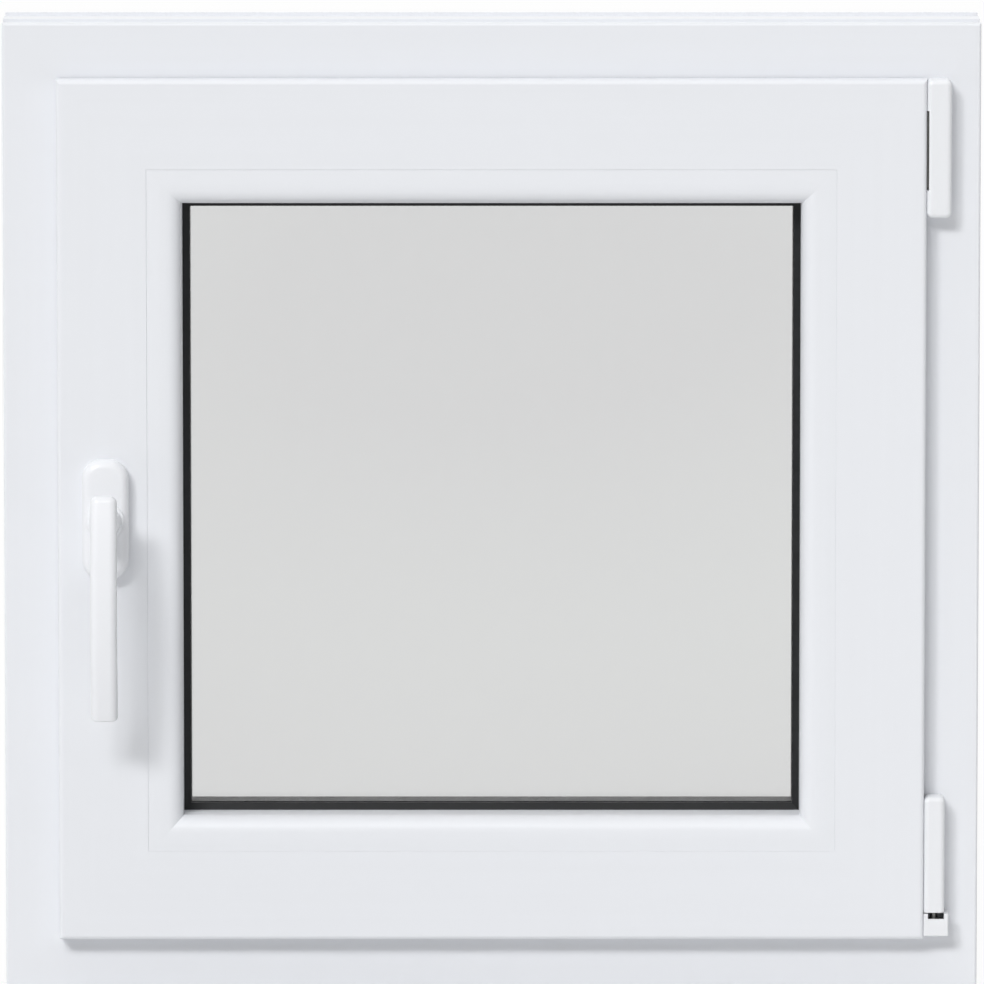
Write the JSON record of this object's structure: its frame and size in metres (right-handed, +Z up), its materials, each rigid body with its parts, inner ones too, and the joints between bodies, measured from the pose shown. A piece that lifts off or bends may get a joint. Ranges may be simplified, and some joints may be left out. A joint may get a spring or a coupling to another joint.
{
  "type": "basement window",
  "caption": "White plastic tilt-and-turn basement window, shut, with double glazing, a lever handle on the left and covered hinges on the right.",
  "frame": {"origin": "middle of the flat centre land of the frame's bottom face", "axes": "+X to the right as seen from the room, +Y from the room to the outside, +Z up"},
  "size_m": [0.6, 0.146, 0.6],
  "materials": {
    "profile_white": "smooth satin white plastic",
    "handle_white": "white powder coat",
    "hinge_cover_white": "moulded white plastic",
    "hinge_steel": "zinc plated",
    "gasket_black": "extruded, matt",
    "seal_black": "cast sealant",
    "spacer_black": "black warm-edge spacer",
    "glass": "clear float glass"
  },
  "bodies": {
    "root": {"bead_bottom": "profile_white", "bead_gasket": "gasket_black", "bead_left": "profile_white", "bead_right": "profile_white", "bead_top": "profile_white", "drain_cap_left": "hinge_cover_white", "drain_cap_right": "hinge_cover_white", "edge_seal": "seal_black", "frame_head": "profile_white", "frame_jamb_left": "profile_white", "frame_jamb_right": "profile_white", "frame_rebate_gasket": "gasket_black", "frame_sill": "profile_white", "handle_collar": "handle_white", "handle_lever": "handle_white", "handle_rosette": "handle_white", "inner_pane": "glass", "outer_glazing_gasket": "gasket_black", "outer_pane": "glass", "pivot_bracket": "hinge_steel", "pivot_cover": "hinge_cover_white", "pivot_pin": "hinge_steel", "sash_bottom_rail": "profile_white", "sash_hinge_arm": "hinge_steel", "sash_hinge_cover": "hinge_cover_white", "sash_left_stile": "profile_white", "sash_overlap_gasket": "gasket_black", "sash_right_stile": "profile_white", "sash_top_rail": "profile_white", "spacer_bar": "spacer_black", "stay_arm": "hinge_steel", "top_hinge_bracket": "hinge_steel", "top_hinge_cover": "hinge_cover_white", "top_hinge_pin": "hinge_steel"}
  },
  "joints": []
}
